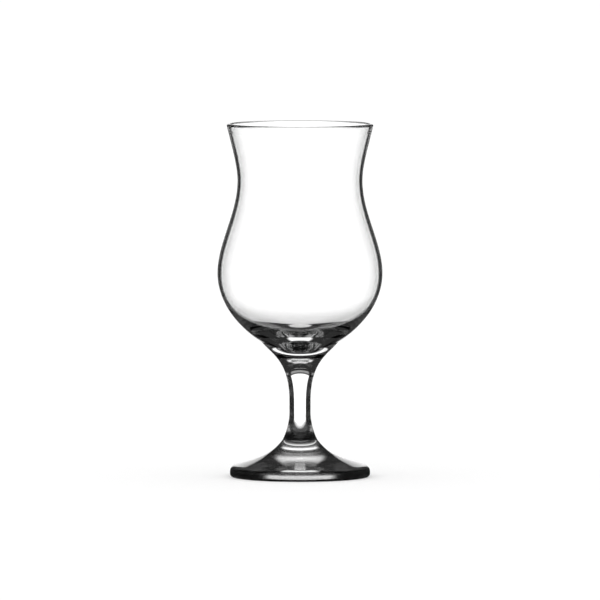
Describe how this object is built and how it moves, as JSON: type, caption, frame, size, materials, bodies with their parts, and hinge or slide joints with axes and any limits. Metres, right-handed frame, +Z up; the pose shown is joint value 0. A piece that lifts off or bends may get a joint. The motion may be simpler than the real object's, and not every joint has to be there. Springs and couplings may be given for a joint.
{
  "type": "hurricane glass",
  "caption": "Short-stemmed cocktail glass: a flared, waisted bowl with a round belly, fused to a waisted stem on a broad round foot, in clear colourless glass.",
  "frame": {"origin": "centre of the foot, on the plane that the glass stands on", "axes": "+Z up along the axis of the glass, from the foot to the mouth; X and Y are level and any pair at right angles serves, because the glass is round"},
  "size_m": [0.0822, 0.0822, 0.176],
  "materials": {
    "bowl_glass": "fire-polished, clear and colourless",
    "stem_glass": "fire-polished, clear and colourless, solid",
    "foot_glass": "pressed and fire-polished, clear and colourless, solid"
  },
  "bodies": {
    "root": {"bowl": "bowl_glass", "stem": "stem_glass", "foot": "foot_glass"}
  },
  "joints": []
}
